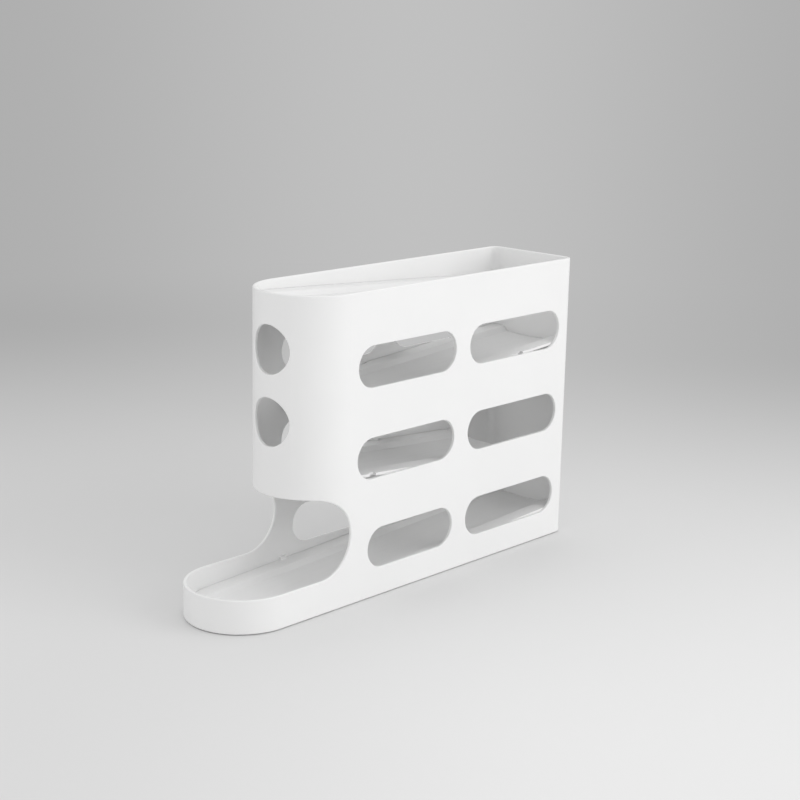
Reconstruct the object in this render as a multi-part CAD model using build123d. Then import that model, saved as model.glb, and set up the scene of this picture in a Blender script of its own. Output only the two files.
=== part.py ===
from build123d import *
import os

os.makedirs("parts", exist_ok=True)

# Frame: +Z up, the tray nose points to -Y, the flat back to +Y, origin under the middle of the object.

# Overall size
HEIGHT = 225.0            # floor to rim
WIDTH = 81.0              # outside, across X
LENGTH = 351.0            # tray nose to back
TRAY_REACH = 64.2         # how far the tray stands out in front of the tall part
WALL = 2.2
BACK_CORNER_R = 8.0       # outside plan radius of the back corners
FOOT_GAP = 0.5            # air gap under the housing

BACK_Y = LENGTH / 2
TRAY_NOSE_Y = -LENGTH / 2
UPPER_NOSE_Y = TRAY_NOSE_Y + TRAY_REACH
HALF_W = WIDTH / 2
INNER_HALF_W = HALF_W - WALL
INNER_BACK_Y = BACK_Y - WALL
NOSE_INNER_Y = UPPER_NOSE_Y + WALL
TRAY_INNER_Y = TRAY_NOSE_Y + WALL
SIDE_START_Y = UPPER_NOSE_Y + HALF_W     # where the round nose runs into the flat sides
TRAY_START_Y = TRAY_NOSE_Y + HALF_W
MID_Y = (UPPER_NOSE_Y + BACK_Y) / 2

# Ramps: sheet, cross-section and fall per mm of y, from the top ramp down to the base
RAMP_SLOPE = [-0.06, 0.07, -0.07, 0.05]
RAMP_SKIN = 2.0
LEDGE_WIDTH = 12.0        # flat strip on each side of the rolling groove
GROOVE_FLANK = 3.0
GROOVE_DEPTH = 4.0        # at the flank foot
GROOVE_SAG = 1.0          # further depth on the centre line
RAMP_END_ROUND = 5.0      # plan radius of the corners at a low end
GROOVE_BEND = 1.0         # rounding where the ledge turns down into the groove
SHEET_DEPTH = GROOVE_DEPTH + GROOVE_SAG + RAMP_SKIN      # ledge top to the sheet's lowest line

# Where the ramps stand: an egg needs the drop gap at each low end and the headroom over the next ramp
DROP_GAP = 48.3
HEADROOM_SECOND = 46.3
HEADROOM_THIRD = 49.1
TOP_BELOW_RIM = 5.0       # ledge of the top ramp at the nose, under the rim
BASE_NOSE_Z = 7.8         # ledge of the base at the tray nose
BACK_DROP_Y = INNER_BACK_Y - DROP_GAP
FRONT_DROP_Y = NOSE_INNER_Y + DROP_GAP
TOP_Z0 = HEIGHT - TOP_BELOW_RIM - RAMP_SLOPE[0] * NOSE_INNER_Y
SECOND_Z0 = TOP_Z0 + (RAMP_SLOPE[0] - RAMP_SLOPE[1]) * BACK_DROP_Y - RAMP_SKIN - HEADROOM_SECOND
THIRD_Z0 = SECOND_Z0 + (RAMP_SLOPE[1] - RAMP_SLOPE[2]) * FRONT_DROP_Y - RAMP_SKIN - HEADROOM_THIRD
BASE_Z0 = BASE_NOSE_Z - RAMP_SLOPE[3] * TRAY_INNER_Y
RAMP_Z0 = [TOP_Z0, SECOND_Z0, THIRD_Z0, BASE_Z0]     # ledge height at y = 0

# Front opening between the tray rim and the lower edge of the tall part
TRAY_RIM_Z = 25.1
UPPER_EDGE_BELOW_RAMP = 15.5    # lower edge of the nose under the third ramp's ledge
MOUTH_PAST_NOSE = 2.0           # rear end of the opening behind the start of the flat sides
UPPER_EDGE_Z = RAMP_Z0[2] + RAMP_SLOPE[2] * NOSE_INNER_Y - UPPER_EDGE_BELOW_RAMP
MOUTH_R = (UPPER_EDGE_Z - TRAY_RIM_Z) / 2
MOUTH_Z = (UPPER_EDGE_Z + TRAY_RIM_Z) / 2
MOUTH_REAR_Y = SIDE_START_Y + MOUTH_PAST_NOSE
MOUTH_Y = MOUTH_REAR_Y - MOUTH_R         # centre of the opening's round rear end

# Side slots, a front and a rear one in each row, on both sides
SLOT_HEIGHT = 30.0
SLOT_ABOVE_RAMP = [22.0, 15.2, 20.4]     # slot centre over the ledge of the ramp it shows, at y = 0
SLOT_INSET = 8.0                         # start of the flat side to the upper two rows
SLOT_BEHIND_MOUTH = 17.4                 # rear end of the front opening to the lowest row
SLOT_BACK_MARGIN = 15.6
SLOT_POST = 15.4                         # wall left between the front and the rear slot
SLOT_POST_SHIFT = -2.2                   # post centre from the middle of the upper rows
SLOT_ROWS_Z = [z0 + rise for z0, rise in zip(RAMP_Z0[1:], SLOT_ABOVE_RAMP)]
SLOT_UPPER_Y = SIDE_START_Y + SLOT_INSET
SLOT_FRONT_Y = [SLOT_UPPER_Y, SLOT_UPPER_Y, MOUTH_REAR_Y + SLOT_BEHIND_MOUTH]
SLOT_REAR_Y = BACK_Y - SLOT_BACK_MARGIN
POST_Y = (SLOT_UPPER_Y + SLOT_REAR_Y) / 2 + SLOT_POST_SHIFT

# Round windows in the nose
WINDOW_R = 17.4
WINDOWS_BELOW_RIM = [39.6, 90.8]

# Edge rounding of the housing
RIM_ROUND = 0.9
OPENING_ROUND = 0.6
MOUTH_ROUND = 0.7
SOLE_ROUND = 1.0

# Clearances
RAMP_SIDE_CLEAR = 0.4
BASE_SIDE_CLEAR = 0.2
NOTCH_CLEAR = 0.6
BEAD_CLEAR = 0.1
ON_FACE = 0.001           # how near an edge lies to a face to count as on it

# Support tabs inside the housing, one list of y positions per lift-out ramp
TAB_REACH = 2.6
TAB_LENGTH = 5.0
TAB_HEIGHT = 4.0
TOP_TABS_Y = [SIDE_START_Y + 2.8, MID_Y - 12.0, BACK_DROP_Y - 9.0]
SECOND_TABS_Y = [FRONT_DROP_Y + 16.0, MID_Y + 4.0, BACK_Y - 12.0]
THIRD_TABS_Y = [SIDE_START_Y + 11.8, MID_Y - 24.0, BACK_DROP_Y - 21.0]
TABS_Y = [TOP_TABS_Y, SECOND_TABS_Y, THIRD_TABS_Y]

# Base: hold-down lugs above it, snap beads on its skirt, sockets for the feet
LUG_REACH = 2.0
LUG_LENGTH = 6.0
LUG_HEIGHT = 2.0
LUGS_Y = [MOUTH_REAR_Y + 7.0, POST_Y, BACK_Y - 12.0]
SKIRT_THICK = 1.6
SKIRT_LIFT = 0.5          # skirt bottom above the housing's bottom
SKIRT_BOTTOM_Z = FOOT_GAP + SKIRT_LIFT
BASE_SPACE_TOP = TRAY_RIM_Z + SLOT_HEIGHT                # above everything that the base reaches
BEAD_R = 0.9
BEAD_LENGTH = 14.0
BEAD_Z = 6.0
BEADS_Y = [MOUTH_Y + 2.0, BACK_Y - 80.0]
BOSS_WALL = 1.6
FOOT_R = 6.0
FOOT_RECESS = 1.5
FOOT_EDGE = 0.4
FOOT_INSET = 8.3          # foot centre to the inside of the long wall
FOOT_INSET_NOSE = 12.3
FOOT_X = INNER_HALF_W - FOOT_INSET
FOOT_NOSE_X = INNER_HALF_W - FOOT_INSET_NOSE
FOOT_ROWS = [(FOOT_X, BACK_Y - 17.5), (FOOT_X, MID_Y - 20.0), (FOOT_NOSE_X, TRAY_START_Y - 8.0)]
FEET_XY = [(side * x, y) for x, y in FOOT_ROWS for side in (1, -1)]


def plan(nose_y, back_y, half_width, corner_r):
    """Plan outline: a half-round nose, straight sides and a flat back with rounded corners."""
    centre_y = nose_y + half_width
    outline = Pos(0, (centre_y + back_y) / 2) * Rectangle(2 * half_width, back_y - centre_y)
    outline += Pos(0, centre_y) * Circle(half_width)
    corners = outline.vertices().group_by(Axis.Y)[-1]
    return fillet(corners, corner_r)


def prism(nose_y, back_y, half_width, corner_r, low_z, high_z):
    """The plan outline as a solid between two heights."""
    return extrude(Pos(0, 0, low_z) * plan(nose_y, back_y, half_width, corner_r), high_z - low_z)


def ramp_z(tier, y):
    """Height of a ramp's ledge top."""
    return RAMP_Z0[tier] + RAMP_SLOPE[tier] * y


def sloped_bar(tier, start_y, end_y, low_x, high_x, top_offset, height):
    """A bar that follows a ramp's slope; its top lies top_offset above the ledge."""
    top_a = ramp_z(tier, start_y) + top_offset
    top_b = ramp_z(tier, end_y) + top_offset
    side = Polyline(
        (low_x, start_y, top_a),
        (low_x, end_y, top_b),
        (low_x, end_y, top_b - height),
        (low_x, start_y, top_a - height),
        close=True,
    )
    return Solid.extrude(Face(Wire(side.edges())), Vector(high_x - low_x, 0, 0))


def groove_profile(tier, start_y, half_width):
    """Cross-section of a ramp at start_y: two ledges and the sunken rolling groove."""
    top = ramp_z(tier, start_y)
    edge_x = half_width - LEDGE_WIDTH
    foot_x = edge_x - GROOVE_FLANK
    upper = [(half_width, 0), (edge_x, 0), (foot_x, -GROOVE_DEPTH)]
    mirrored = [(-x, z) for x, z in reversed(upper)]
    points = [Vector(x, start_y, top + z) for x, z in upper + mirrored]
    sag = Vector(0, start_y, top - GROOVE_DEPTH - GROOVE_SAG)
    below = Vector(0, 0, -RAMP_SKIN)
    drop = [p + below for p in points]
    edges = [
        Edge.make_line(points[0], points[1]),
        Edge.make_line(points[1], points[2]),
        Edge.make_three_point_arc(points[2], sag, points[3]),
        Edge.make_line(points[3], points[4]),
        Edge.make_line(points[4], points[5]),
        Edge.make_line(points[5], drop[5]),
        Edge.make_line(drop[5], drop[4]),
        Edge.make_line(drop[4], drop[3]),
        Edge.make_three_point_arc(drop[3], sag + below, drop[2]),
        Edge.make_line(drop[2], drop[1]),
        Edge.make_line(drop[1], drop[0]),
        Edge.make_line(drop[0], points[0]),
    ]
    return Face(Wire(edges))


def is_bend(edge):
    """True for an edge that runs the whole length of a ramp sheet."""
    return edge.length > LENGTH / 2


def ramp_sheet(tier, start_y, end_y, half_width):
    """The grooved sheet before it is trimmed to the plan outline."""
    rise = RAMP_SLOPE[tier] * (end_y - start_y)
    sheet = Solid.extrude(groove_profile(tier, start_y, half_width), Vector(0, end_y - start_y, rise))
    bends = [e for e in sheet.edges().filter_by(is_bend) if abs((e @ 0.5).X) < half_width - ON_FACE]
    return fillet(bends, GROOVE_BEND)


def tab_notches(tier):
    """Edge notches that let a lifted ramp pass the support tabs of the ramps above it."""
    reach = TAB_REACH + NOTCH_CLEAR
    length = TAB_LENGTH + 2 * NOTCH_CLEAR
    height = 2 * SHEET_DEPTH
    cuts = []
    for tabs in TABS_Y[:tier]:
        for y in tabs:
            for side in (1, -1):
                x = side * (INNER_HALF_W - reach / 2)
                cuts.append(Pos(x, y, ramp_z(tier, y)) * Box(reach, length, height))
    return cuts


def lift_out_ramp(tier, start_y, end_y, low_end_is_back):
    """A ramp that drops in from the top and rests on its own support tabs."""
    half = INNER_HALF_W - RAMP_SIDE_CLEAR
    outline_nose = NOSE_INNER_Y + RAMP_SIDE_CLEAR
    outline_back = INNER_BACK_Y - RAMP_SIDE_CLEAR
    corner = BACK_CORNER_R - WALL - RAMP_SIDE_CLEAR
    sheet = ramp_sheet(tier, TRAY_NOSE_Y, BACK_Y, half)
    outline = plan(outline_nose, outline_back, half, corner)
    band = Pos(0, (start_y + end_y) / 2) * Rectangle(WIDTH, end_y - start_y)
    outline = outline & band
    low_end = outline.vertices().group_by(Axis.Y)[-1 if low_end_is_back else 0]
    outline = fillet(low_end, RAMP_END_ROUND)
    ramp = sheet & extrude(outline, HEIGHT + GROOVE_DEPTH)
    for notch in tab_notches(tier):
        ramp -= notch
    return ramp


def side_slots():
    """The stadium slots, each cut through both long walls."""
    cuts = []
    for row_z, front_y in zip(SLOT_ROWS_Z, SLOT_FRONT_Y):
        for low_y, high_y in ((front_y, POST_Y - SLOT_POST / 2), (POST_Y + SLOT_POST / 2, SLOT_REAR_Y)):
            slot = SlotOverall(high_y - low_y, SLOT_HEIGHT)
            place = Plane(origin=(0, (low_y + high_y) / 2, row_z), x_dir=(0, 1, 0), z_dir=(1, 0, 0))
            cuts.append(extrude(place * slot, WIDTH, both=True))
    return cuts


def nose_windows():
    """The two round windows, bored along Y through the nose only."""
    cuts = []
    for below_rim in WINDOWS_BELOW_RIM:
        z = HEIGHT - below_rim
        place = Plane(origin=(0, UPPER_NOSE_Y - WALL, z), x_dir=(1, 0, 0), z_dir=(0, 1, 0))
        cuts.append(extrude(place * Circle(WINDOW_R), HALF_W))
    return cuts


def mouth_cut():
    """The side-view shape of the front opening: straight edges ending in a half round."""
    place = Plane(origin=(0, MOUTH_Y, MOUTH_Z), x_dir=(0, 1, 0), z_dir=(1, 0, 0))
    shape = Circle(MOUTH_R) + Pos(-LENGTH / 2, 0) * Rectangle(LENGTH, 2 * MOUTH_R)
    return extrude(place * shape, WIDTH, both=True)


def base_beads(radius):
    """Snap beads along the base's skirt; the housing's grooves use a larger radius."""
    face_x = INNER_HALF_W - BASE_SIDE_CLEAR
    beads = []
    for y in BEADS_Y:
        for side in (1, -1):
            place = Plane(origin=(side * face_x, y, BEAD_Z), x_dir=(1, 0, 0), z_dir=(0, 1, 0))
            beads.append(extrude(place * Circle(radius), BEAD_LENGTH / 2, both=True))
    return beads


def on_plane_x(edge, x):
    """True for an edge that lies in the plane of a long wall's outer face."""
    return all(abs(abs(v.X) - x) < ON_FACE for v in edge.vertices())


def lies_at_z(edge, z):
    """True for an edge whose ends are at one height."""
    return all(abs(v.Z - z) < ON_FACE for v in edge.vertices())


def make_housing():
    corner_in = BACK_CORNER_R - WALL
    low = prism(TRAY_NOSE_Y, BACK_Y, HALF_W, BACK_CORNER_R, FOOT_GAP, MOUTH_Z)
    low -= prism(TRAY_INNER_Y, INNER_BACK_Y, INNER_HALF_W, corner_in, FOOT_GAP, MOUTH_Z)
    high = prism(UPPER_NOSE_Y, BACK_Y, HALF_W, BACK_CORNER_R, MOUTH_Z, HEIGHT)
    high -= prism(NOSE_INNER_Y, INNER_BACK_Y, INNER_HALF_W, corner_in, MOUTH_Z, HEIGHT)
    housing = (low - mouth_cut()) + (high - mouth_cut())
    for cut in side_slots() + nose_windows():
        housing -= cut
    rim = [e for e in housing.edges() if lies_at_z(e, HEIGHT)]
    housing = fillet(rim, RIM_ROUND)
    housing = fillet(mouth_edges(housing), MOUTH_ROUND)
    sole = [e for e in housing.edges() if lies_at_z(e, FOOT_GAP) and is_outer(e)]
    housing = fillet(sole, SOLE_ROUND)
    housing = round_openings(housing)
    for tier, tabs in enumerate(TABS_Y):
        for y in tabs:
            for side in (1, -1):
                inner = side * (INNER_HALF_W - TAB_REACH)
                outer = side * (INNER_HALF_W + WALL / 2)
                low_x, high_x = sorted((inner, outer))
                start, end = y - TAB_LENGTH / 2, y + TAB_LENGTH / 2
                housing += sloped_bar(tier, start, end, low_x, high_x, -RAMP_SKIN, TAB_HEIGHT)
    for y in LUGS_Y:
        for side in (1, -1):
            inner = side * (INNER_HALF_W - LUG_REACH)
            outer = side * (INNER_HALF_W + WALL / 2)
            low_x, high_x = sorted((inner, outer))
            start, end = y - LUG_LENGTH / 2, y + LUG_LENGTH / 2
            housing += sloped_bar(3, start, end, low_x, high_x, LUG_HEIGHT, LUG_HEIGHT)
    for groove in base_beads(BEAD_R + BEAD_CLEAR):
        housing -= groove
    return housing


def mouth_edges(housing):
    """Both edges of the wall along the tray rim, the round rear end and under the nose."""
    found = []
    for e in housing.edges():
        box = e.bounding_box()
        in_height = box.min.Z > TRAY_RIM_Z - ON_FACE and box.max.Z < UPPER_EDGE_Z + ON_FACE
        if in_height and box.max.Y < MOUTH_REAR_Y + ON_FACE and e.length > 2 * WALL:
            found.append(e)
    return found


def is_outer(edge):
    """True for a bottom edge on the outside face rather than the inside face."""
    mid = edge @ 0.5
    if mid.Y > BACK_Y - WALL / 2:
        return True
    if abs(mid.X) > HALF_W - WALL / 2:
        return True
    if mid.Y < TRAY_START_Y:
        return (mid.X ** 2 + (mid.Y - TRAY_START_Y) ** 2) ** 0.5 > HALF_W - WALL / 2
    corner_x = HALF_W - BACK_CORNER_R
    corner_y = BACK_Y - BACK_CORNER_R
    if abs(mid.X) > corner_x and mid.Y > corner_y:
        reach = ((abs(mid.X) - corner_x) ** 2 + (mid.Y - corner_y) ** 2) ** 0.5
        return reach > BACK_CORNER_R - WALL / 2
    return False


def window_edges(housing):
    """The outer edges of the round windows in the nose."""
    found = []
    for below_rim in WINDOWS_BELOW_RIM:
        low, high = HEIGHT - below_rim - WINDOW_R, HEIGHT - below_rim + WINDOW_R
        for e in housing.edges():
            box = e.bounding_box()
            inside_height = box.min.Z > low - ON_FACE and box.max.Z < high + ON_FACE
            mid = e @ 0.5
            reach = (mid.X ** 2 + (mid.Y - SIDE_START_Y) ** 2) ** 0.5
            if inside_height and mid.Y < SIDE_START_Y and abs(reach - HALF_W) < ON_FACE:
                found.append(e)
    return found


def round_openings(housing):
    """Softens the outer edges of the windows and of the slots on both long walls."""
    edges = window_edges(housing)
    for row_z, front_y in zip(SLOT_ROWS_Z, SLOT_FRONT_Y):
        low, high = row_z - SLOT_HEIGHT / 2, row_z + SLOT_HEIGHT / 2
        for e in housing.edges():
            box = e.bounding_box()
            inside_row = box.min.Z > low - ON_FACE and box.max.Z < high + ON_FACE
            inside_len = box.min.Y > front_y - ON_FACE and box.max.Y < SLOT_REAR_Y + ON_FACE
            if inside_row and inside_len and on_plane_x(e, HALF_W):
                edges.append(e)
    return fillet(edges, OPENING_ROUND)


def make_base():
    half = INNER_HALF_W - BASE_SIDE_CLEAR
    nose = TRAY_INNER_Y + BASE_SIDE_CLEAR
    back = INNER_BACK_Y - BASE_SIDE_CLEAR
    corner = BACK_CORNER_R - WALL - BASE_SIDE_CLEAR
    outline = prism(nose, back, half, corner, SKIRT_BOTTOM_Z, BASE_SPACE_TOP)
    sheet = ramp_sheet(3, TRAY_NOSE_Y, BACK_Y, half)
    inside = prism(nose + SKIRT_THICK, back - SKIRT_THICK, half - SKIRT_THICK, corner - SKIRT_THICK,
                   SKIRT_BOTTOM_Z, BASE_SPACE_TOP)
    under = sloped_bar(3, TRAY_NOSE_Y, BACK_Y, -half, half, -RAMP_SKIN / 2, BASE_SPACE_TOP)
    base = (sheet & outline) + ((outline - inside) & under)
    for x, y in FEET_XY:
        boss = Pos(x, y, FOOT_GAP) * extrude(Circle(FOOT_R + BOSS_WALL), TRAY_RIM_Z)
        base += boss & under
    groove = groove_space(3, half)
    base -= groove
    for x, y in FEET_XY:
        base -= Pos(x, y, FOOT_GAP) * extrude(Circle(FOOT_R), FOOT_RECESS)
    for bead in base_beads(BEAD_R):
        base += bead & prism(nose - 2 * WALL, back + 2 * WALL, half + WALL, corner, 0, TRAY_RIM_Z)
    return base


def groove_space(tier, half_width):
    """The air above the groove, used to keep bosses out of the rolling track."""
    top = ramp_z(tier, TRAY_NOSE_Y)
    edge_x = half_width - LEDGE_WIDTH
    foot_x = edge_x - GROOVE_FLANK
    y = TRAY_NOSE_Y
    left, right = Vector(-foot_x, y, top - GROOVE_DEPTH), Vector(foot_x, y, top - GROOVE_DEPTH)
    left_top, right_top = Vector(-edge_x, y, top), Vector(edge_x, y, top)
    sag = Vector(0, y, top - GROOVE_DEPTH - GROOVE_SAG)
    edges = [
        Edge.make_three_point_arc(left, sag, right),
        Edge.make_line(right, right_top),
        Edge.make_line(right_top, left_top),
        Edge.make_line(left_top, left),
    ]
    return Solid.extrude(Face(Wire(edges)), Vector(0, LENGTH, RAMP_SLOPE[tier] * LENGTH))


def make_foot(x, y):
    disc = extrude(Circle(FOOT_R), FOOT_GAP + FOOT_RECESS)
    sole = disc.edges().group_by(Axis.Z)[0]
    return Pos(x, y, 0) * fillet(sole, FOOT_EDGE)


housing = make_housing()
top_ramp = lift_out_ramp(0, UPPER_NOSE_Y, BACK_DROP_Y, True)
second_ramp = lift_out_ramp(1, FRONT_DROP_Y, BACK_Y, False)
third_ramp = lift_out_ramp(2, UPPER_NOSE_Y, BACK_DROP_Y, True)
base_ramp = make_base()

export_step(housing, "parts/housing.step")
export_step(top_ramp, "parts/top_ramp.step")
export_step(second_ramp, "parts/second_ramp.step")
export_step(third_ramp, "parts/third_ramp.step")
export_step(base_ramp, "parts/base_ramp.step")
for index, (foot_x, foot_y) in enumerate(FEET_XY, start=1):
    export_step(make_foot(foot_x, foot_y), f"parts/foot_{index}.step")
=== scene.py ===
"""Rolling egg dispenser: moulded finishes, non-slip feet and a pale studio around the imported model."""

import math

import bmesh
import bpy
from bpy.props import FloatProperty, FloatVectorProperty, IntProperty, PointerProperty
from bpy.types import Operator, Panel, PropertyGroup
from mathutils import Matrix, Vector


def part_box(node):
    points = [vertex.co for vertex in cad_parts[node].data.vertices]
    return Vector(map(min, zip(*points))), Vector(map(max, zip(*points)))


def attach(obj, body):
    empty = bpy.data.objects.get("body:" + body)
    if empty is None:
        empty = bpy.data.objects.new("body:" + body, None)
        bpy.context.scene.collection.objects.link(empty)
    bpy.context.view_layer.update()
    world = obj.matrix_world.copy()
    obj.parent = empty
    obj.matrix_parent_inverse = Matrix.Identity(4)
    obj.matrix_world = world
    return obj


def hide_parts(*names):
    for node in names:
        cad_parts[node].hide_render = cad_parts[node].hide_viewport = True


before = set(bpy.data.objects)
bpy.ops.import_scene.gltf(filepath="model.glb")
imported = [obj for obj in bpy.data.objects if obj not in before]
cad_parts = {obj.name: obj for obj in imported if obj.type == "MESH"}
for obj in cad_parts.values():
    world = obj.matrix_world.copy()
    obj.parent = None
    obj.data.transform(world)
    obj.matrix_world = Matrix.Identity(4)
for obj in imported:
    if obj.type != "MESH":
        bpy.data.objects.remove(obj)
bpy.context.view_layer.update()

bl_info = {
    "name": "Rolling egg dispenser",
    "version": (1, 0, 0),
    "blender": (4, 5, 0),
    "location": "3D View > Sidebar > Egg dispenser",
    "description": "Finishes and feet of a rolling egg dispenser, with a studio to show it in",
    "category": "Object",
}

MM = 0.001

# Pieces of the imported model
LIFT_OUT_RAMPS = ("top_ramp", "second_ramp", "third_ramp")
FEET = sorted(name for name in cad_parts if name.startswith("foot_"))

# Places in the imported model, in metres
HALF_WIDTH, BACK_Y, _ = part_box("housing")[1]
TOP_RAMP_LOW, TOP_RAMP_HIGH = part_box("top_ramp")
NOSE_CENTRE_Y = TOP_RAMP_LOW.y + TOP_RAMP_HIGH.x
FOOT_LOW, FOOT_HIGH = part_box("foot_1")

# Noise values between which a pattern comes in, from none to full
HOUSING_CLOUDS = (0.35, 0.7)
RAMP_CLOUDS = (0.3, 0.75)
RUB_MARKS = (0.56, 0.72)
ROLLING_STREAKS = (0.4, 0.75)
RUBBER_MOTTLE = (0.3, 0.7)
SOLE_DUST = (0.48, 0.7)

# Scale of a noise along X, Y and Z; it is drawn out where the scale is small
FLOW_SCALE = (1.0, 0.25, 1.0)
RUB_SCALE = (1.0, 1.0, 3.0)
STREAK_SCALE = (1.0, 0.06, 1.0)

# Softness of an edge, as a share of the size that it bounds
RUB_SOFTNESS = 0.8
TRACK_SOFTNESS = 0.6
DUST_SOFTNESS = 0.5

# Ejector pin marks have a narrow edge, and lie where a surface faces down
PIN_EDGE = 0.15 * MM
DOWNWARD = -0.5
DOWNWARD_SOFTNESS = 0.1

# How many flow marks there are to a cloud, and tray rim heights up to the full inside gloss
FLOWS_PER_CLOUD = 3
RIMS_TO_FULL_GLOSS = 2

# Edges of a turned piece that bend more than this stay sharp
SHARP_ANGLE = math.radians(50)

# Steps round the floor and the backdrop, and up the backdrop's bend
FLOOR_STEPS = 96
BEND_STEPS = 24

# The camera's frame
PICTURE_PIXELS = 800
SENSOR_WIDTH_MM = 36


# Shader maths


class Value:
    """A node socket that can be used in a Python expression; each operation adds its node."""

    def __init__(self, net, socket):
        self.net = net
        self.socket = socket

    def maths(self, operation, *others):
        """A Math node on this value and the others."""
        inputs = dict(enumerate((self, *others)))
        return self.net.add("ShaderNodeMath", {"operation": operation}, inputs)

    def __add__(self, other):
        return self.maths("ADD", other)

    __radd__ = __add__

    def __sub__(self, other):
        return self.maths("SUBTRACT", other)

    def __rsub__(self, other):
        return self.net.number(other).maths("SUBTRACT", self)

    def __mul__(self, other):
        return self.maths("MULTIPLY", other)

    __rmul__ = __mul__

    def __truediv__(self, other):
        return self.maths("DIVIDE", other)

    def __rtruediv__(self, other):
        return self.net.number(other).maths("DIVIDE", self)

    def __abs__(self):
        return self.maths("ABSOLUTE")

    def root(self):
        return self.maths("SQRT")

    def fraction(self):
        return self.maths("FRACT")

    def lower_of(self, other):
        return self.maths("MINIMUM", other)

    def higher_of(self, other):
        return self.maths("MAXIMUM", other)

    def ease(self, low=0.0, high=1.0):
        """0 below low, 1 above high, with a smooth rise between them."""
        settings = {"interpolation_type": "SMOOTHSTEP"}
        inputs = {"Value": self, "From Min": low, "From Max": high}
        return self.net.add("ShaderNodeMapRange", settings, inputs)

    def below(self, edge, soft):
        """1 below the edge, 0 above it, with a smooth change as far as soft on either side."""
        return 1 - self.ease(edge - soft, edge + soft)

    def spread(self, width):
        """A value from 0 to 1, centred on 0 and made this wide."""
        return (self - 0.5) * width

    def grey(self):
        """A grey of this tone."""
        return self.net.add("ShaderNodeCombineColor", inputs={channel: self for channel in range(3)})


class Net:
    """The node tree of one material or world, and the one way in which its nodes are made."""

    def __init__(self, owner):
        owner.use_nodes = True
        self.tree = owner.node_tree
        self.tree.nodes.clear()

    def add(self, kind, settings=None, inputs=None, output=0):
        """A new node, as the value of one of its outputs; an input that is None is left alone."""
        node = self.tree.nodes.new(kind)
        for name, value in (settings or {}).items():
            setattr(node, name, value)
        for key, value in (inputs or {}).items():
            socket = self.socket(node.inputs, key)
            if isinstance(value, Value):
                self.tree.links.new(value.socket, socket)
            elif value is not None:
                socket.default_value = value
        return Value(self, self.socket(node.outputs, output)) if node.outputs else None

    @staticmethod
    def socket(sockets, key):
        """A socket by its number, its identifier or its name."""
        if isinstance(key, int):
            return sockets[key]
        for socket in sockets:
            if socket.identifier == key:
                return socket
        return sockets[key]

    def number(self, value):
        """A plain number as a socket, for the reflected operations."""
        return self.add("ShaderNodeMath", {"operation": "ADD"}, {0: value, 1: 0.0})

    def parts(self, vector):
        """The three components of a vector."""
        first = self.add("ShaderNodeSeparateXYZ", inputs={0: vector})
        return [Value(self, socket) for socket in first.socket.node.outputs]

    def place(self):
        """Object coordinates in metres, whole and by axis."""
        whole = self.add("ShaderNodeTexCoord", output="Object")
        return whole, self.parts(whole)

    def noise(self, where, size, detail, roughness=0.5):
        """Noise from 0 to 1 whose features are about size metres across."""
        inputs = {"Vector": where, "Scale": 1 / size, "Detail": detail, "Roughness": roughness}
        return self.add("ShaderNodeTexNoise", {"noise_dimensions": "3D"}, inputs, "Fac")

    def scaled(self, where, scale):
        """Coordinates scaled by axis."""
        return self.add("ShaderNodeVectorMath", {"operation": "MULTIPLY"}, {0: where, 1: scale})

    def blend(self, factor, first, second):
        """A colour between first and second."""
        settings = {"data_type": "RGBA", "blend_type": "MIX"}
        inputs = {"Factor_Float": factor, "A_Color": first, "B_Color": second}
        return self.add("ShaderNodeMix", settings, inputs, "Result_Color")

    def relief(self, height, depth, normal=None):
        """A bump whose full height difference is depth metres."""
        inputs = {"Strength": 1.0, "Distance": depth, "Height": height, "Normal": normal}
        return self.add("ShaderNodeBump", inputs=inputs, output="Normal")

    def surface(self, colour, roughness, normal=None, **others):
        """The shader and its output; the others are named after the shader's own sockets."""
        inputs = {"Base Color": colour, "Roughness": roughness, "Normal": normal}
        inputs.update({name.replace("_", " "): value for name, value in others.items()})
        shader = self.add("ShaderNodeBsdfPrincipled", inputs=inputs, output="BSDF")
        self.add("ShaderNodeOutputMaterial", inputs={"Surface": shader})


def between(factor, first, second):
    """A tone between two tones."""
    return factor * (second - first) + first


def shade(colour, factor=1.0):
    """A colour, made lighter or darker by the factor, as four channels."""
    return tuple(min(1.0, channel * factor) for channel in colour) + (1.0,)


# Finishes


def new_material(name):
    """A material and its empty node tree."""
    material = bpy.data.materials.new(name)
    return material, Net(material)


def moulded_skin(net, where, look):
    """Orange peel and fine spark-eroded grain, as two bumps one on the other."""
    peel = net.noise(where, look.peel_size, detail=1.0)
    smooth = net.relief(peel, look.peel_depth)
    grain = net.noise(where, look.grain_size, detail=3.0, roughness=0.6)
    return net.relief(grain, look.grain_depth, smooth)


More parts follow.
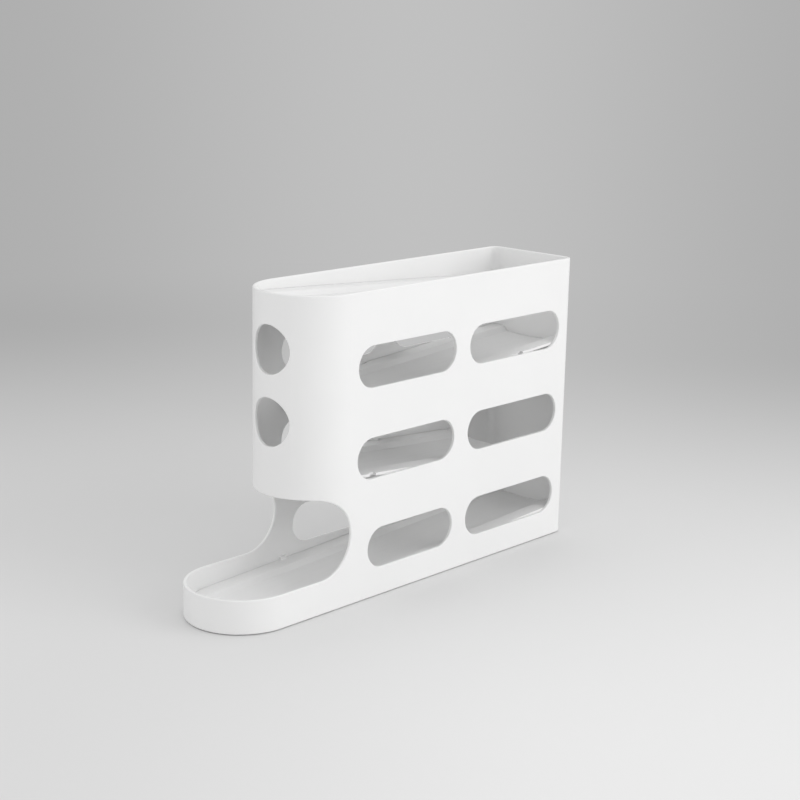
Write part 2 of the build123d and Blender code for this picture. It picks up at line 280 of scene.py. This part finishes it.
def housing_plastic(look):
    """White satin plastic, a little glossier inside, with rub marks low down."""
    material, net = new_material("housing_white_plastic")
    where, (x, y, z) = net.place()
    clouds = net.noise(where, look.cloud_size, detail=3.0).ease(*HOUSING_CLOUDS)
    tone = net.blend(clouds, shade(look.colour), shade(look.colour, look.cloud_shade))
    flow = net.noise(net.scaled(where, FLOW_SCALE), look.cloud_size / FLOWS_PER_CLOUD, detail=4.0)
    rub = net.noise(net.scaled(where, RUB_SCALE), look.rub_size, detail=5.0, roughness=0.7)
    low_down = z.below(look.rub_height, look.rub_height * RUB_SOFTNESS)
    scuffs = rub.ease(*RUB_MARKS) * low_down
    tone = net.blend(scuffs * look.rub_strength, tone, shade(look.colour, look.rub_shade))
    ahead = (y - NOSE_CENTRE_Y).lower_of(0.0)
    reach = (x * x + ahead * ahead).root()
    within_sides = reach.below(HALF_WIDTH - look.wall / 2, look.wall / 4)
    within_back = y.below(BACK_Y - look.wall / 2, look.wall / 4)
    above_tray = z.ease(look.tray_rim, look.tray_rim * RIMS_TO_FULL_GLOSS)
    inside = within_sides * within_back * above_tray
    roughness = look.roughness + flow.spread(look.roughness_spread)
    roughness = roughness + scuffs * look.rub_roughness - inside * look.inside_gloss
    skin = moulded_skin(net, where, look)
    net.surface(tone, roughness, skin, IOR=look.ior, Specular_IOR_Level=look.specular)
    return material


def ramp_plastic(name, look, colour):
    """White plastic of a ramp, polished by rolling along its groove and marked by ejector pins below."""
    material, net = new_material(name)
    where, (x, y, _) = net.place()
    clouds = net.noise(where, look.cloud_size, detail=3.0).ease(*RAMP_CLOUDS)
    tone = net.blend(clouds, shade(colour), shade(colour, look.cloud_shade))
    track = abs(x).below(look.track_half_width, look.track_half_width * TRACK_SOFTNESS)
    along_y = net.scaled(where, STREAK_SCALE)
    streaks = net.noise(along_y, look.streak_size, detail=4.0, roughness=0.65)
    worn = streaks.ease(*ROLLING_STREAKS) * track
    tone = net.blend(worn * look.track_strength, tone, shade(colour, look.track_shade))
    roughness = look.roughness - track * look.track_gloss + streaks.spread(look.roughness_spread)
    step_x = abs(x) - look.pin_offset
    step_y = (y / look.pin_pitch).fraction().spread(look.pin_pitch)
    from_pin = (step_x * step_x + step_y * step_y).root()
    _, _, facing_up = net.parts(net.add("ShaderNodeTexCoord", output="Normal"))
    pins = from_pin.below(look.pin_radius, PIN_EDGE) * facing_up.below(DOWNWARD, DOWNWARD_SOFTNESS)
    marked = net.relief(1 - pins, look.pin_depth, moulded_skin(net, where, look))
    net.surface(tone, roughness, marked, IOR=look.ior, Specular_IOR_Level=look.specular)
    return material


def foot_rubber(look):
    """Matt grey elastomer with fine pores and a dusty sole."""
    material, net = new_material("foot_grey_rubber")
    where, (_, _, z) = net.place()
    mottle = net.noise(where, look.mottle_size, detail=4.0)
    spots = mottle.ease(*RUBBER_MOTTLE)
    tone = net.blend(spots, shade(look.colour), shade(look.colour, look.mottle_shade))
    patches = net.noise(where, look.dust_size, detail=5.0, roughness=0.7).ease(*SOLE_DUST)
    dust = patches * z.below(look.dust_height, look.dust_height * DUST_SOFTNESS)
    tone = net.blend(dust * look.dust_strength, tone, shade(look.dust_colour))
    roughness = look.roughness + mottle.spread(look.roughness_spread) + dust * look.dust_roughness
    pores = net.relief(net.noise(where, look.pore_size, detail=2.0), look.pore_depth)
    net.surface(tone, roughness, pores, IOR=look.ior, Specular_IOR_Level=look.specular)
    return material


def finish_node(name, material):
    """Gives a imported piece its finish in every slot."""
    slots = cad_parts[name].material_slots
    if not slots:
        raise RuntimeError(f"{name} has no material slot")
    for slot in slots:
        slot.material = material


# Turned pieces


def quarter_turn(steps):
    """Angles from 0 to a right angle."""
    return [math.pi / 2 * step / steps for step in range(steps + 1)]


def turned_rings(made, profile, steps):
    """A ring of vertices about Z for each (radius, height) point."""
    turn = [2 * math.pi * step / steps for step in range(steps)]
    rings = []
    for radius, height in profile:
        ring = [(radius * math.cos(angle), radius * math.sin(angle), height) for angle in turn]
        rings.append([made.verts.new(point) for point in ring])
    return rings


def join_rings(made, rings):
    """Faces between each ring and the next."""
    for ring, other in zip(rings, rings[1:]):
        for step, corner in enumerate(ring):
            following = (step + 1) % len(ring)
            made.faces.new((corner, ring[following], other[following], other[step]))


def finished_mesh(name, made, material):
    """The mesh of what bmesh has made, in one material."""
    mesh = bpy.data.meshes.new(name)
    made.to_mesh(mesh)
    made.free()
    mesh.materials.append(material)
    return mesh


def put_in(scene, name, data):
    """A new object in the scene."""
    placed = bpy.data.objects.new(name, data)
    scene.collection.objects.link(placed)
    return placed


def lathe(name, profile, steps, material):
    """A turned solid about Z from (radius, height) points that start and end on the axis."""
    made = bmesh.new()
    rings = turned_rings(made, profile[1:-1], steps)
    join_rings(made, rings)
    for ring, height in ((rings[0], profile[0][1]), (rings[-1], profile[-1][1])):
        middle = made.verts.new((0, 0, height))
        for step, corner in enumerate(ring):
            made.faces.new((middle, corner, ring[(step + 1) % steps]))
    bmesh.ops.recalc_face_normals(made, faces=made.faces)
    mesh = finished_mesh(name, made, material)
    mesh.shade_smooth()
    mesh.set_sharp_from_angle(angle=SHARP_ANGLE)
    return mesh


def foot_profile(look):
    """Half section of a foot: grooved sole, rounded edge, drawn-in waist, rounded edge and flat top."""
    radius = (FOOT_HIGH.x - FOOT_LOW.x) / 2
    height = FOOT_HIGH.z - FOOT_LOW.z
    flat_radius = radius - look.edge_round
    points = [(0.0, look.groove_depth)]
    for step in range(1, look.sole_steps):
        across = flat_radius * step / look.sole_steps
        wave = math.cos(2 * math.pi * look.grooves * across / flat_radius)
        points.append((across, look.groove_depth * max(0.0, wave) ** 2))
    for angle in quarter_turn(look.round_steps):
        out, up = math.sin(angle), 1 - math.cos(angle)
        points.append((flat_radius + look.edge_round * out, look.edge_round * up))
    waist_low, waist_high = look.edge_round, height - look.edge_round
    for step in range(1, look.round_steps):
        share = step / look.round_steps
        draw = look.waist_depth * math.sin(math.pi * share) ** 2
        points.append((radius - draw, waist_low + (waist_high - waist_low) * share))
    for angle in quarter_turn(look.round_steps):
        back, up = 1 - math.cos(angle), math.sin(angle)
        points.append((radius - look.edge_round * back, waist_high + look.edge_round * up))
    points.append((0.0, height))
    return points


# Stage


def toward(azimuth, elevation=0.0):
    """Unit vector from the object to a place at these angles; azimuth 0 is in front of the nose."""
    level = math.cos(elevation)
    return Vector((math.sin(azimuth) * level, -math.cos(azimuth) * level, math.sin(elevation)))


def studio_paper(look):
    """Pale paper with painted light. Near the object it is a painted pool of light that still takes the
    object's shadow; far off its painted tone, with a painted glow in the middle of the backdrop, is
    shown as its own light.
    """
    material, net = new_material("studio_paper")
    _, (x, y, _) = net.place()
    back = toward(look.camera_azimuth)
    across = x * -back.y + y * back.x
    behind = x * -back.x + y * -back.y
    # Painted light: the floor near the object is brighter on the right than on the left
    on_right = across.ease(look.left_end, look.right_end)
    near_paper_and_painted_light = between(on_right, look.left_tone, look.right_tone)
    # Painted glow: a band across the middle of the backdrop is lighter, and widens with distance
    half_glow = abs(behind) * look.glow_widening + look.glow_width
    glow = 1 - abs((across - look.glow_across) / half_glow).ease()
    far_paper_and_painted_glow = between(glow, look.backdrop_tone, look.glow_tone)
    # Painted falloff of the light: the floor darkens into the backdrop's tone away from the object,
    # sooner on the right, and towards the camera
    leaning = behind + on_right.spread(look.lean)
    before_far_end = 1 - leaning.ease(look.near_end, look.far_end)
    behind_front_end = behind.ease(-look.floor_radius, look.front_end)
    tone = between(before_far_end * behind_front_end, far_paper_and_painted_glow, near_paper_and_painted_light)
    # Near the object the painted tone is a base colour lit by the lamps; far off it is emitted as the
    # paper's own light
    fade_start, fade_end = look.floor_radius * look.fade_start, look.floor_radius * look.fade_end
    far_off = (x * x + y * y).root().ease(fade_start, fade_end)
    lit = (tone * (1 - far_off) / look.light_on_floor).grey()
    shown = (tone * far_off).grey()
    net.surface(lit, look.paper_roughness, Specular_IOR_Level=0.0,
                Emission_Color=shown, Emission_Strength=1.0)
    return material


def build_floor(scene, look, paper):
    """A flat round floor with its top at the origin."""
    made = bmesh.new()
    bmesh.ops.create_circle(made, cap_ends=True, segments=FLOOR_STEPS, radius=look.floor_radius)
    floor = put_in(scene, "floor", finished_mesh("floor", made, paper))


def build_backdrop(scene, look, paper):
    """A round sweep from the floor's rim up to a wall; it shows, but neither lights nor shades."""
    profile = []
    for angle in quarter_turn(BEND_STEPS):
        out, up = math.sin(angle), 1 - math.cos(angle)
        profile.append((look.floor_radius + look.bend_radius * out, look.bend_radius * up))
    profile.append((look.floor_radius + look.bend_radius, look.wall_height))
    made = bmesh.new()
    join_rings(made, turned_rings(made, profile, FLOOR_STEPS))
    mesh = finished_mesh("backdrop", made, paper)
    mesh.shade_smooth()
    backdrop = put_in(scene, "backdrop", mesh)
    backdrop.visible_diffuse = False
    backdrop.visible_shadow = False


def seen_rays(net):
    """1 for rays that show the background itself: camera, glossy and transmission rays."""
    names = ("Is Camera Ray", "Is Glossy Ray", "Is Transmission Ray")
    camera, glossy, passed = [net.add("ShaderNodeLightPath", output=name) for name in names]
    return camera.higher_of(glossy).higher_of(passed)


def light_room(scene, look):
    """Even light from all round and one large soft lamp on the right."""
    world = bpy.data.worlds.new("studio_air")
    net = Net(world)
    white, wall = shade((1.0, 1.0, 1.0)), shade((look.backdrop_tone,) * 3)
    fill = net.add("ShaderNodeBackground", inputs={"Color": white, "Strength": look.ambient})
    shown = net.add("ShaderNodeBackground", inputs={"Color": wall, "Strength": 1.0})
    air = net.add("ShaderNodeMixShader", inputs={0: seen_rays(net), 1: fill, 2: shown})
    net.add("ShaderNodeOutputWorld", inputs={"Surface": air})
    scene.world = world
    lamp = bpy.data.lights.new("key_lamp", "AREA")
    lamp.shape = "SQUARE"
    lamp.size = look.key_size
    lamp.energy = look.key_power
    key = put_in(scene, "key_lamp", lamp)
    outward = toward(look.key_azimuth, look.key_elevation)
    key.location = outward * look.key_distance
    key.rotation_euler = outward.to_track_quat("Z", "Y").to_euler()


def place_camera(scene, look):
    """The camera of the reference view, from its place, angles and focal length."""
    roll = look.camera_roll
    back = toward(look.camera_azimuth, look.camera_elevation)
    right = Vector((math.cos(look.camera_azimuth), math.sin(look.camera_azimuth), 0))
    up = back.cross(right)
    tilted_right = right * math.cos(roll) + up * math.sin(roll)
    tilted_up = back.cross(tilted_right)
    axis_x, axis_y = look.lens_axis
    lens = bpy.data.cameras.new("camera")
    lens.sensor_width = SENSOR_WIDTH_MM
    lens.lens = look.focal_length * SENSOR_WIDTH_MM / PICTURE_PIXELS
    lens.shift_x = 0.5 - axis_x / PICTURE_PIXELS
    lens.shift_y = axis_y / PICTURE_PIXELS - 0.5
    camera = put_in(scene, "camera", lens)
    axes = Matrix((tilted_right, tilted_up, back)).transposed()
    camera.matrix_world = Matrix.Translation(look.camera_place) @ axes.to_4x4()
    scene.camera = camera


# Looks that a user can change


class HousingLook(PropertyGroup):
    """Finish of the housing."""

    colour: FloatVectorProperty(name="Colour", description="Plastic of the housing", subtype="COLOR",
                                size=3, min=0, max=1, default=(0.86, 0.86, 0.858))
    roughness: FloatProperty(name="Roughness", description="Satin of the outside", subtype="FACTOR",
                             min=0, max=1, default=0.42)
    roughness_spread: FloatProperty(name="Roughness spread", description="How much the satin varies",
                                    subtype="FACTOR", min=0, max=1, default=0.12)
    inside_gloss: FloatProperty(name="Inside gloss", description="How much smoother the inside is",
                                subtype="FACTOR", min=0, max=1, default=0.08)
    wall: FloatProperty(name="Wall", description="Wall thickness", unit="LENGTH", default=2.2 * MM)
    tray_rim: FloatProperty(name="Tray rim", description="Height of the tray rim", unit="LENGTH",
                            default=25.1 * MM)
    cloud_size: FloatProperty(name="Cloud size", description="Size of the faint tone changes",
                              unit="LENGTH", default=70 * MM)
    cloud_shade: FloatProperty(name="Cloud shade", description="Tone of the darker clouds",
                               subtype="FACTOR", min=0, max=1, default=0.985)
    peel_size: FloatProperty(name="Peel size", description="Size of the orange peel", unit="LENGTH",
                             default=5 * MM)
    peel_depth: FloatProperty(name="Peel depth", description="Depth of the orange peel", unit="LENGTH",
                              default=0.012 * MM)
    grain_size: FloatProperty(name="Grain size", description="Size of the spark-eroded grain",
                              unit="LENGTH", default=0.45 * MM)
    grain_depth: FloatProperty(name="Grain depth", description="Depth of the grain", unit="LENGTH",
                               default=0.008 * MM)
    rub_size: FloatProperty(name="Rub size", description="Size of the rub marks near the bottom",
                            unit="LENGTH", default=4 * MM)
    rub_height: FloatProperty(name="Rub height", description="How high the rub marks reach",
                              unit="LENGTH", default=6 * MM)
    rub_shade: FloatProperty(name="Rub shade", description="Tone of the rub marks", subtype="FACTOR",
                             min=0, max=1, default=0.8)
    rub_strength: FloatProperty(name="Rub strength", description="How strongly the rub marks show",
                                subtype="FACTOR", min=0, max=1, default=0.35)
    rub_roughness: FloatProperty(name="Rub roughness", description="Extra roughness of the rub marks",
                                 subtype="FACTOR", min=0, max=1, default=0.15)
    ior: FloatProperty(name="IOR", description="Refractive index of the plastic", default=1.5)
    specular: FloatProperty(name="Specular", description="Strength of the plain reflection",
                            subtype="FACTOR", min=0, max=1, default=0.5)


class RampLook(PropertyGroup):
    """Finish of the lift-out ramps and of the base."""

    colour: FloatVectorProperty(name="Colour", description="Plastic of the lift-out ramps",
                                subtype="COLOR", size=3, min=0, max=1, default=(0.84, 0.84, 0.838))
    base_colour: FloatVectorProperty(name="Base colour", description="Plastic of the base",
                                     subtype="COLOR", size=3, min=0, max=1, default=(0.85, 0.85, 0.848))
    roughness: FloatProperty(name="Roughness", description="Satin of the ramps", subtype="FACTOR",
                             min=0, max=1, default=0.45)
    roughness_spread: FloatProperty(name="Roughness spread", description="How much the satin varies",
                                    subtype="FACTOR", min=0, max=1, default=0.08)
    track_half_width: FloatProperty(name="Track half width", description="Half the polished track",
                                    unit="LENGTH", default=13 * MM)
    track_gloss: FloatProperty(name="Track gloss", description="How much smoother the track is",
                               subtype="FACTOR", min=0, max=1, default=0.06)
    track_shade: FloatProperty(name="Track shade", description="Tone of the worn track",
                               subtype="FACTOR", min=0, max=1, default=0.9)
    track_strength: FloatProperty(name="Track strength", description="How strongly the wear shows",
                                  subtype="FACTOR", min=0, max=1, default=0.3)
    streak_size: FloatProperty(name="Streak size", description="Width of the rolling streaks",
                               unit="LENGTH", default=2.5 * MM)
    cloud_size: FloatProperty(name="Cloud size", description="Size of the faint tone changes",
                              unit="LENGTH", default=45 * MM)
    cloud_shade: FloatProperty(name="Cloud shade", description="Tone of the darker clouds",
                               subtype="FACTOR", min=0, max=1, default=0.98)
    peel_size: FloatProperty(name="Peel size", description="Size of the orange peel", unit="LENGTH",
                             default=4 * MM)
    peel_depth: FloatProperty(name="Peel depth", description="Depth of the orange peel", unit="LENGTH",
                              default=0.012 * MM)
    grain_size: FloatProperty(name="Grain size", description="Size of the grain", unit="LENGTH",
                              default=0.5 * MM)
    grain_depth: FloatProperty(name="Grain depth", description="Depth of the grain", unit="LENGTH",
                               default=0.01 * MM)
    pin_pitch: FloatProperty(name="Pin pitch", description="Distance between ejector pin marks",
                             unit="LENGTH", default=42 * MM)
    pin_offset: FloatProperty(name="Pin offset", description="Ejector pin marks from the middle",
                              unit="LENGTH", default=30 * MM)
    pin_radius: FloatProperty(name="Pin radius", description="Radius of an ejector pin mark",
                              unit="LENGTH", default=2 * MM)
    pin_depth: FloatProperty(name="Pin depth", description="Depth of an ejector pin mark",
                             unit="LENGTH", default=0.08 * MM)
    ior: FloatProperty(name="IOR", description="Refractive index of the plastic", default=1.5)
    specular: FloatProperty(name="Specular", description="Strength of the plain reflection",
                            subtype="FACTOR", min=0, max=1, default=0.5)


class FootLook(PropertyGroup):
    """Shape and finish of the feet."""

    colour: FloatVectorProperty(name="Colour", description="Rubber of the feet", subtype="COLOR",
                                size=3, min=0, max=1, default=(0.32, 0.32, 0.33))
    roughness: FloatProperty(name="Roughness", description="Matt of the rubber", subtype="FACTOR",
                             min=0, max=1, default=0.68)
    roughness_spread: FloatProperty(name="Roughness spread", description="How much the matt varies",
                                    subtype="FACTOR", min=0, max=1, default=0.12)
    grooves: IntProperty(name="Grooves", description="Grip grooves round the sole", default=3, min=0)
    groove_depth: FloatProperty(name="Groove depth", description="Depth of a grip groove",
                                unit="LENGTH", default=0.3 * MM)
    edge_round: FloatProperty(name="Edge round", description="Rounding of sole and top", unit="LENGTH",
                              default=0.4 * MM)
    waist_depth: FloatProperty(name="Waist depth", description="How far the side is drawn in",
                               unit="LENGTH", default=0.12 * MM)
    sole_steps: IntProperty(name="Sole steps", description="Rings of the sole", default=48, min=8)
    round_steps: IntProperty(name="Round steps", description="Rings of a rounding", default=6, min=2)
    turn_steps: IntProperty(name="Turn steps", description="Steps round the foot", default=72, min=12)
    mottle_size: FloatProperty(name="Mottle size", description="Size of the tone changes",
                               unit="LENGTH", default=3 * MM)
    mottle_shade: FloatProperty(name="Mottle shade", description="Tone of the lighter spots",
                                subtype="FACTOR", min=0, max=2, default=1.12)
    pore_size: FloatProperty(name="Pore size", description="Size of the pores", unit="LENGTH",
                             default=0.3 * MM)
    pore_depth: FloatProperty(name="Pore depth", description="Depth of the pores", unit="LENGTH",
                              default=0.02 * MM)
    dust_colour: FloatVectorProperty(name="Dust colour", description="Dust on the sole",
                                     subtype="COLOR", size=3, min=0, max=1, default=(0.5, 0.49, 0.47))
    dust_size: FloatProperty(name="Dust size", description="Size of the dust patches", unit="LENGTH",
                             default=2 * MM)
    dust_height: FloatProperty(name="Dust height", description="How high the dust reaches",
                               unit="LENGTH", default=0.4 * MM)
    dust_strength: FloatProperty(name="Dust strength", description="How strongly the dust shows",
                                 subtype="FACTOR", min=0, max=1, default=0.4)
    dust_roughness: FloatProperty(name="Dust roughness", description="Extra roughness of the dust",
                                  subtype="FACTOR", min=0, max=1, default=0.1)
    ior: FloatProperty(name="IOR", description="Refractive index of the rubber", default=1.5)
    specular: FloatProperty(name="Specular", description="Strength of the plain reflection",
                            subtype="FACTOR", min=0, max=1, default=0.4)


class StageLook(PropertyGroup):
    """Floor, backdrop, light and camera."""

    # The tones and ends below paint light on the floor: a painted pool, brighter on the right, that
    # darkens away from the object and towards the camera
    left_tone: FloatProperty(name="Left tone", description="Floor at the left of the object",
                             subtype="FACTOR", min=0, max=1, default=0.72)
    right_tone: FloatProperty(name="Right tone", description="Floor at the right of the object",
                              subtype="FACTOR", min=0, max=1, default=0.825)
    left_end: FloatProperty(name="Left end", description="The floor has its left tone up to here",
                            unit="LENGTH", default=-0.22)
    right_end: FloatProperty(name="Right end", description="The floor has its right tone from here",
                             unit="LENGTH", default=0.15)
    near_end: FloatProperty(name="Near end", description="Where the floor begins to darken, measured "
                            "from the object away from the camera", unit="LENGTH", default=-0.25)
    far_end: FloatProperty(name="Far end", description="Where the floor is as dark as the backdrop",
                           unit="LENGTH", default=0.9)
    front_end: FloatProperty(name="Front end", description="Where the floor begins to darken towards "
                             "the camera", unit="LENGTH", default=-0.5)
    lean: FloatProperty(name="Lean", description="How much nearer the darkening is on the right",
                        unit="LENGTH", default=0.15)
    # Painted glow: the backdrop is lighter in the middle of its glow than at its sides
    backdrop_tone: FloatProperty(name="Backdrop tone", description="Backdrop beside its glow",
                                 subtype="FACTOR", min=0, max=1, default=0.43)
    glow_tone: FloatProperty(name="Glow tone", description="Backdrop in the middle of its glow",
                             subtype="FACTOR", min=0, max=1, default=0.53)
    glow_across: FloatProperty(name="Glow across", description="Middle of the glow, to the right",
                               unit="LENGTH", default=0.06)
    glow_width: FloatProperty(name="Glow width", description="Half width of the glow at the object",
                              unit="LENGTH", default=0.37)
    glow_widening: FloatProperty(name="Glow widening", description="Growth of the glow's half width "
                                 "with distance", default=0.25)
    floor_radius: FloatProperty(name="Floor radius", description="Radius of the flat floor",
                                unit="LENGTH", default=1.5)
    # Far off, the paper shows its painted light as its own light instead of taking the lamps' light
    fade_start: FloatProperty(name="Fade start", description="Where the paper begins to show its own "
                              "tone instead of the light, as a share of the floor's radius",
                              subtype="FACTOR", min=0, max=1, default=0.6)
    fade_end: FloatProperty(name="Fade end", description="Where the paper shows its own tone alone, "
                            "as a share of the floor's radius", subtype="FACTOR", min=0, max=1,
                            default=0.95)
    bend_radius: FloatProperty(name="Bend radius", description="Radius of the bend up to the wall",
                               unit="LENGTH", default=0.9)
    wall_height: FloatProperty(name="Wall height", description="Top of the backdrop", unit="LENGTH",
                               default=4.0)
    paper_roughness: FloatProperty(name="Paper roughness", description="Matt of floor and backdrop",
                                   subtype="FACTOR", min=0, max=1, default=0.9)
    ambient: FloatProperty(name="Ambient", description="Strength of the light from all round",
                           default=0.925)
    light_on_floor: FloatProperty(name="Light on floor", description="Light that the floor receives, "
                                  "against which its colour is worked out", default=1.02)
    key_power: FloatProperty(name="Key power", description="Power of the large soft lamp",
                             unit="POWER", default=16.8)
    key_size: FloatProperty(name="Key size", description="Side of the soft lamp", unit="LENGTH",
                            default=1.8)
    key_azimuth: FloatProperty(name="Key azimuth", description="Where the soft lamp stands",
                               subtype="ANGLE", default=math.radians(118))
    key_elevation: FloatProperty(name="Key elevation", description="How high the soft lamp stands",
                                 subtype="ANGLE", default=math.radians(24))
    key_distance: FloatProperty(name="Key distance", description="Soft lamp to the object",
                                unit="LENGTH", default=2.6)
    camera_azimuth: FloatProperty(name="Camera azimuth", description="Angle round the object",
                                  subtype="ANGLE", default=math.radians(43.16))
    camera_elevation: FloatProperty(name="Camera elevation", description="Angle above the horizon",
                                    subtype="ANGLE", default=math.radians(13.65))
    camera_roll: FloatProperty(name="Camera roll", description="Tilt of the picture",
                               subtype="ANGLE", default=math.radians(1.16))
    camera_place: FloatVectorProperty(name="Camera place", description="Where the camera stands",
                                      subtype="TRANSLATION", size=3, default=(0.8088, -0.8433, 0.4212))
    focal_length: FloatProperty(name="Focal length", description="Focal length in pixels of the "
                                "square picture", subtype="PIXEL", default=1631.2)
    lens_axis: FloatVectorProperty(name="Lens axis", description="Where the lens axis meets the "
                                   "picture, in pixels from its top left", size=2,
                                   default=(397.5, 392.56))


class DispenserProps(PropertyGroup):
    """All looks of the dispenser and its stage."""

    housing: PointerProperty(name="Housing", description="Finish of the housing", type=HousingLook)
    ramp: PointerProperty(name="Ramps", description="Finish of the ramps and the base", type=RampLook)
    foot: PointerProperty(name="Feet", description="Shape and finish of the feet", type=FootLook)
    stage: PointerProperty(name="Stage", description="Floor, backdrop, light and camera",
                           type=StageLook)


# Steps


class EGG_DISPENSER_OT_housing(Operator):
    """Give the one-piece housing its satin white plastic"""

    bl_idname = "egg_dispenser.housing"
    bl_label = "Finish housing"

    def execute(self, context):
        look = context.scene.egg_dispenser.housing
        finish_node("housing", housing_plastic(look))
        return {"FINISHED"}


class EGG_DISPENSER_OT_lift_out_ramps(Operator):
    """Give the three lift-out ramps their white plastic with a worn rolling track"""

    bl_idname = "egg_dispenser.lift_out_ramps"
    bl_label = "Finish lift-out ramps"

    def execute(self, context):
        look = context.scene.egg_dispenser.ramp
        plastic = ramp_plastic("ramp_white_plastic", look, look.colour)
        for name in LIFT_OUT_RAMPS:
            finish_node(name, plastic)
        return {"FINISHED"}


class EGG_DISPENSER_OT_base(Operator):
    """Give the base with the lowest ramp and the tray floor its white plastic"""

    bl_idname = "egg_dispenser.base"
    bl_label = "Finish base"

    def execute(self, context):
        look = context.scene.egg_dispenser.ramp
        finish_node("base_ramp", ramp_plastic("base_white_plastic", look, look.base_colour))
        return {"FINISHED"}


class EGG_DISPENSER_OT_feet(Operator):
    """Seat a turned rubber foot with grip grooves in every socket of the base"""

    bl_idname = "egg_dispenser.feet"
    bl_label = "Add feet"

    def execute(self, context):
        if not FEET:
            raise RuntimeError("the packed model has no feet")
        look = context.scene.egg_dispenser.foot
        mesh = lathe("foot_pad", foot_profile(look), look.turn_steps, foot_rubber(look))
        for number, node in enumerate(FEET, start=1):
            low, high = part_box(node)
            foot = put_in(context.scene, f"foot_pad_{number}", mesh)
            foot.location = ((low.x + high.x) / 2, (low.y + high.y) / 2, low.z)
            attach(foot, "frame")
            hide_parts(node)
        return {"FINISHED"}


class EGG_DISPENSER_OT_stage(Operator):
    """Build the pale floor, the backdrop, the light and the camera"""

    bl_idname = "egg_dispenser.stage"
    bl_label = "Build stage"

    def execute(self, context):
        look = context.scene.egg_dispenser.stage
        paper = studio_paper(look)
        build_floor(context.scene, look, paper)
        build_backdrop(context.scene, look, paper)
        light_room(context.scene, look)
        place_camera(context.scene, look)
        context.scene.view_settings.view_transform = "Standard"
        return {"FINISHED"}


# Sidebar and registration


class EGG_DISPENSER_PT_sidebar(Panel):
    """Steps and looks of the egg dispenser"""

    bl_label = "Egg dispenser"
    bl_idname = "EGG_DISPENSER_PT_sidebar"
    bl_space_type = "VIEW_3D"
    bl_region_type = "UI"
    bl_category = "Egg dispenser"

    def draw(self, context):
        looks = context.scene.egg_dispenser
        for operator in OPERATORS:
            self.layout.operator(operator.bl_idname)
        for name in ("housing", "ramp", "foot", "stage"):
            group = getattr(looks, name)
            box = self.layout.box()
            box.label(text=name.capitalize())
            for prop in group.bl_rna.properties:
                if prop.identifier not in ("name", "rna_type"):
                    box.prop(group, prop.identifier)


OPERATORS = (
    EGG_DISPENSER_OT_housing,
    EGG_DISPENSER_OT_lift_out_ramps,
    EGG_DISPENSER_OT_base,
    EGG_DISPENSER_OT_feet,
    EGG_DISPENSER_OT_stage,
)
LOOKS = (HousingLook, RampLook, FootLook, StageLook, DispenserProps)
CLASSES = (*LOOKS, *OPERATORS, EGG_DISPENSER_PT_sidebar)


def register():
    for cls in CLASSES:
        bpy.utils.register_class(cls)
    bpy.types.Scene.egg_dispenser = PointerProperty(type=DispenserProps)


def unregister():
    del bpy.types.Scene.egg_dispenser
    for cls in reversed(CLASSES):
        bpy.utils.unregister_class(cls)


def main():
    register()
    bpy.ops.egg_dispenser.housing()
    bpy.ops.egg_dispenser.lift_out_ramps()
    bpy.ops.egg_dispenser.base()
    bpy.ops.egg_dispenser.feet()
    bpy.ops.egg_dispenser.stage()


if __name__ == "__main__":
    main()
